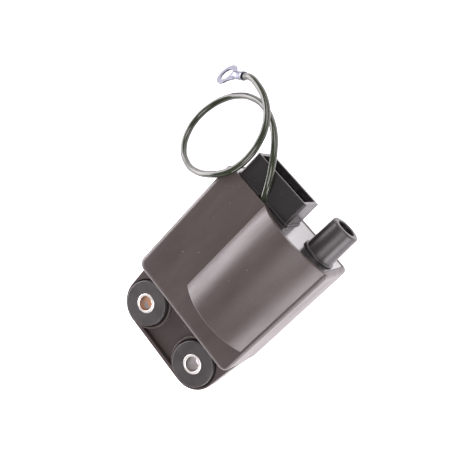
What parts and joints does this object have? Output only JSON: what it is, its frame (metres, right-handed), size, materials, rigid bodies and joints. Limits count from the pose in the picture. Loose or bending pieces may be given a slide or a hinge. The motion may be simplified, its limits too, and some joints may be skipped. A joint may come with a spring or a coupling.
{
  "type": "capacitor-discharge ignition coil unit",
  "caption": "Moulded ignition unit with a rounded bulge, rubber-mounted flange, rectangular plug connector, high-tension outlet tower and a short earth lead with a ring terminal.",
  "frame": {"origin": "on the back face, midway between the two bolt sleeves", "axes": "+Z out of the back face towards the bulge, +Y from the flange towards the connector and the high-tension outlet, +X to the right seen from the front with the outlet up"},
  "size_m": [0.1033, 0.1243, 0.0348],
  "materials": {
    "case_plastic": "semi-gloss moulded thermoplastic, warm dark grey",
    "cap_plastic": "glossy moulded face",
    "connector_plastic": "semi-gloss, darker than the case",
    "tower_plastic": "semi-gloss moulding",
    "grommet_rubber": "matt vulcanised rubber",
    "zinc_plated_steel": "bright zinc plate on turned steel",
    "tinned_brass": "tin plate",
    "brass": "plain turned",
    "ferrite": "sintered, matt",
    "bobbin_plastic": "natural moulding",
    "enamelled_copper": "lacquered winding wire",
    "board_laminate": "bare glass laminate",
    "capacitor_film": "dipped resin",
    "component_epoxy": "moulded epoxy",
    "resistor_body": "lacquered",
    "potting_resin": "cast epoxy",
    "lead_pvc": "extruded PVC, dark olive black",
    "bare_copper": "stranded, bare",
    "tinned_copper": "tin plate, pale"
  },
  "bodies": {
    "unit": {"case": "case_plastic", "grommet_left": "grommet_rubber", "grommet_right": "grommet_rubber", "end_cap": "cap_plastic", "connector_housing": "connector_plastic", "terminal_lower_1": "tinned_brass", "terminal_lower_2": "tinned_brass", "terminal_lower_3": "tinned_brass", "terminal_upper_1": "tinned_brass", "terminal_upper_2": "tinned_brass", "terminal_upper_3": "tinned_brass", "ht_tower": "tower_plastic", "ht_contact_spike": "brass", "ht_link": "brass", "transformer_core": "ferrite", "primary_bobbin": "bobbin_plastic", "secondary_bobbin": "bobbin_plastic", "primary_winding": "enamelled_copper", "secondary_winding_1": "enamelled_copper", "secondary_winding_2": "enamelled_copper", "secondary_winding_3": "enamelled_copper", "secondary_winding_4": "enamelled_copper", "secondary_winding_5": "enamelled_copper", "secondary_winding_6": "enamelled_copper", "circuit_board": "board_laminate", "discharge_capacitor": "capacitor_film", "trigger_capacitor": "capacitor_film", "thyristor": "component_epoxy", "bridge_rectifier": "component_epoxy", "charge_diode": "component_epoxy", "flyback_diode": "component_epoxy", "gate_resistor": "resistor_body", "bleed_resistor": "resistor_body", "potting_first_pour": "potting_resin", "potting_second_pour": "potting_resin", "earth_lead": "lead_pvc", "earth_lead_conductor": "bare_copper", "earth_lead_tail": "bare_copper", "ring_terminal": "tinned_copper"},
    "sleeve_left": {"sleeve_left": "zinc_plated_steel"},
    "sleeve_right": {"sleeve_right": "zinc_plated_steel"}
  },
  "joints": [
    {"name": "sleeve_left_float", "type": "slide", "parent": "unit", "child": "sleeve_left", "axis": [0, 0, 1], "range_m": [-0.0006, 0.0006], "stiffness_N_per_m": 4000},
    {"name": "sleeve_right_float", "type": "slide", "parent": "unit", "child": "sleeve_right", "axis": [0, 0, 1], "range_m": [-0.0006, 0.0006], "stiffness_N_per_m": 4000}
  ]
}
